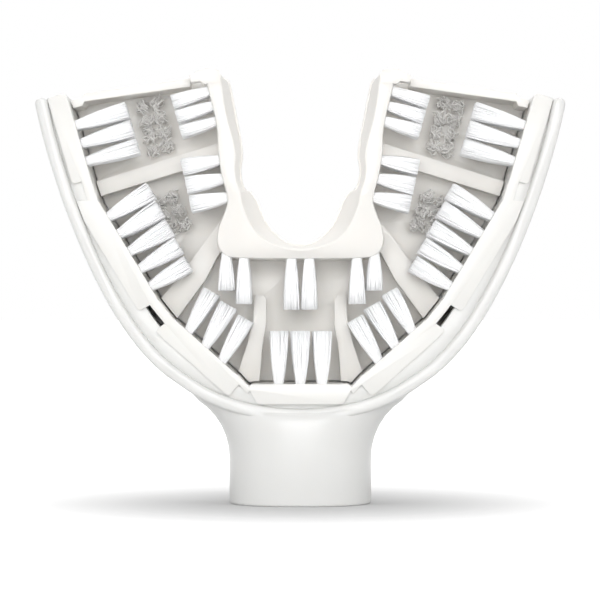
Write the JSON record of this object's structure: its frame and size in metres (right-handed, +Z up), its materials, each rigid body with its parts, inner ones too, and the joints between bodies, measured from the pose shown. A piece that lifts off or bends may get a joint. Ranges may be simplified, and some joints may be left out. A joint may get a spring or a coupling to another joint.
{
  "type": "u-shaped toothbrush head",
  "caption": "Toothbrush head: a u-shaped tray on a short oval neck, with bristle tufts on its cheek, tongue and chewing sides that brush a whole arch of teeth.",
  "frame": {"origin": "middle of the neck's foot face, on the axis of the drive bore", "axes": "+Z up along the neck towards the open ends of the arch, -Y towards the open front of the tray, X across the arch"},
  "size_m": [0.0664, 0.0148, 0.0549],
  "materials": {
    "shell_plastic": "satin moulded off-white",
    "socket_plastic": "matte moulded",
    "strip_plastic": "satin moulded off-white",
    "tray_plastic": "satin moulded, faintly milky",
    "bristle": "bundled white filaments",
    "crimped_bristle": "bundled clear crimped filaments"
  },
  "bodies": {
    "root": {"frame": "shell_plastic", "drive_socket": "socket_plastic", "cheek_strip": "strip_plastic", "inner_tray": "tray_plastic", "cheek_tufts_front": "bristle", "cheek_tufts_corner_left": "bristle", "cheek_tufts_corner_right": "bristle", "cheek_tufts_side_left": "bristle", "cheek_tufts_side_right": "bristle", "cheek_tufts_back_left": "bristle", "cheek_tufts_back_right": "bristle", "tongue_tufts_front": "bristle", "tongue_tufts_corner_left": "bristle", "tongue_tufts_corner_right": "bristle", "tongue_tufts_side_left": "bristle", "tongue_tufts_side_right": "bristle", "tongue_tufts_back_left": "bristle", "tongue_tufts_back_right": "bristle", "chewing_tufts_side_left": "crimped_bristle", "chewing_tufts_side_right": "crimped_bristle", "chewing_tufts_back_left": "crimped_bristle", "chewing_tufts_back_right": "crimped_bristle"}
  },
  "joints": []
}
